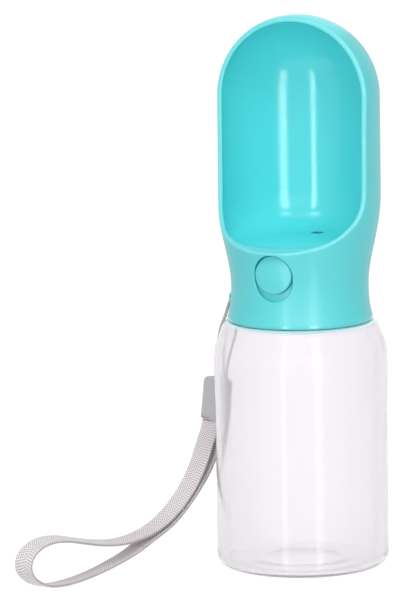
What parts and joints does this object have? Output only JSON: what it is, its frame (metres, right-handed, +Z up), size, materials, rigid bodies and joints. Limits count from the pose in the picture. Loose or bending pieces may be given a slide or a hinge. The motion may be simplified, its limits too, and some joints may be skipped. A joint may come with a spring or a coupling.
{
  "type": "dog travel water bottle",
  "caption": "Clear bottle with a screw-on drinking head: domed trough, push-button valve with slide lock, and a wrist strap on a string loop.",
  "frame": {"origin": "centre of the bottle's base, on the table", "axes": "+Z up along the bottle's axis, -Y towards the trough and the push button, -X towards the strap lug"},
  "size_m": [0.121, 0.1322, 0.225],
  "materials": {
    "clear_plastic": "polished clear moulded plastic",
    "teal_plastic": "glossy moulded plastic",
    "white_plastic": "natural moulded plastic, satin",
    "silicone": "translucent white silicone",
    "black_rubber": "matte rubber",
    "spring_steel": "drawn stainless wire",
    "grey_cord": "braided cord",
    "grey_plastic": "satin moulded plastic",
    "grey_webbing": "ribbed woven webbing"
  },
  "bodies": {
    "bottle": {"bottle": "clear_plastic"},
    "seal_ring": {"neck_seal": "silicone"},
    "head": {"drinking_head": "teal_plastic", "inner_cap": "white_plastic", "valve_housing": "white_plastic", "outlet_seal": "silicone", "stem_oring": "black_rubber", "oring_retainer": "white_plastic", "valve_spring": "spring_steel", "lanyard_string": "grey_cord", "lanyard_crimp": "grey_plastic", "lanyard_webbing": "grey_webbing"},
    "slider": {"lock_slider": "teal_plastic", "button_spring": "spring_steel"},
    "button": {"push_button": "teal_plastic", "cam_fork": "white_plastic"},
    "valve": {"valve_stem": "white_plastic", "valve_seal": "silicone", "spring_retainer": "white_plastic", "lift_collar": "white_plastic"}
  },
  "joints": [
    {"name": "head_lift", "type": "slide", "parent": "bottle", "child": "seal_ring", "axis": [0, 0, 1], "range_m": [0, 0.0061]},
    {"name": "head_turn", "type": "hinge", "parent": "seal_ring", "child": "head", "pos_m": [0, 0, 0.1088], "axis": [0, 0, 1], "range_deg": [0, 540]},
    {"name": "lock_slide", "type": "slide", "parent": "head", "child": "slider", "axis": [0, 0, -1], "range_m": [0, 0.0028]},
    {"name": "button_press", "type": "slide", "parent": "slider", "child": "button", "axis": [0, 1, 0], "range_m": [0, 0.0025], "stiffness_N_per_m": 600, "springref_m": -0.0017, "deforming": ["button_spring"]},
    {"name": "valve_lift", "type": "slide", "parent": "head", "child": "valve", "axis": [0, 0, 1], "range_m": [0, 0.0025], "stiffness_N_per_m": 500, "springref_m": -0.002, "deforming": ["valve_spring"]}
  ],
  "couplings": [
    {"joint": "head_lift", "follows": "head_turn", "m_per_rad": 0.00063662},
    {"joint": "valve_lift", "follows": "button_press", "ratio": 1}
  ]
}
